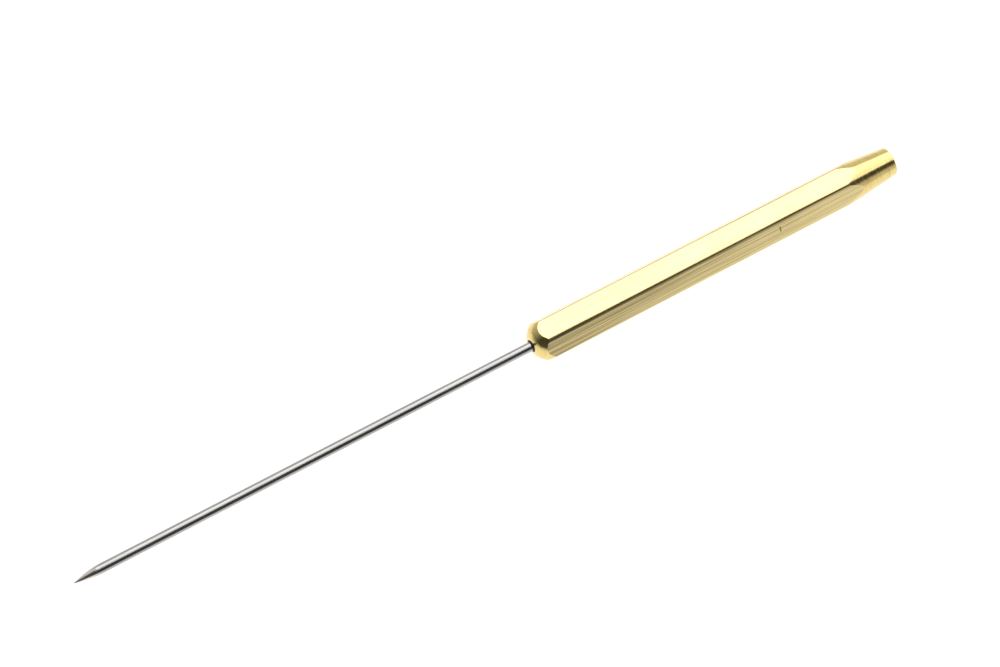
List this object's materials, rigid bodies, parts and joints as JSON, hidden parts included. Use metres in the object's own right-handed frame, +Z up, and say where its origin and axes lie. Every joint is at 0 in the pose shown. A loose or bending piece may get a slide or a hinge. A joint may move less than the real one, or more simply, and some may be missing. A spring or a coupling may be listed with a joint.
{
  "type": "needle tool",
  "caption": "Slim needle tool: a hexagonal brass bar with a domed nose and a round tapered tail, and a straight ground steel needle bonded into the nose.",
  "frame": {"origin": "middle of the overall length, on the surface that the lower flat of the bar rests on", "axes": "+X along the tool from the needle's point to the tail, +Z up out of the upper flat, +Y to the right seen from the tail"},
  "size_m": [0.1168, 0.0058, 0.005],
  "materials": {
    "brass": "bare drawn brass with fine lines along the flats, turned bright at the nose and tail",
    "needle_steel": "polished hard steel wire with a finely ground point",
    "compound": "dark cured retaining compound, satin"
  },
  "bodies": {
    "root": {"handle": "brass", "needle": "needle_steel", "retaining_compound": "compound"}
  },
  "joints": []
}
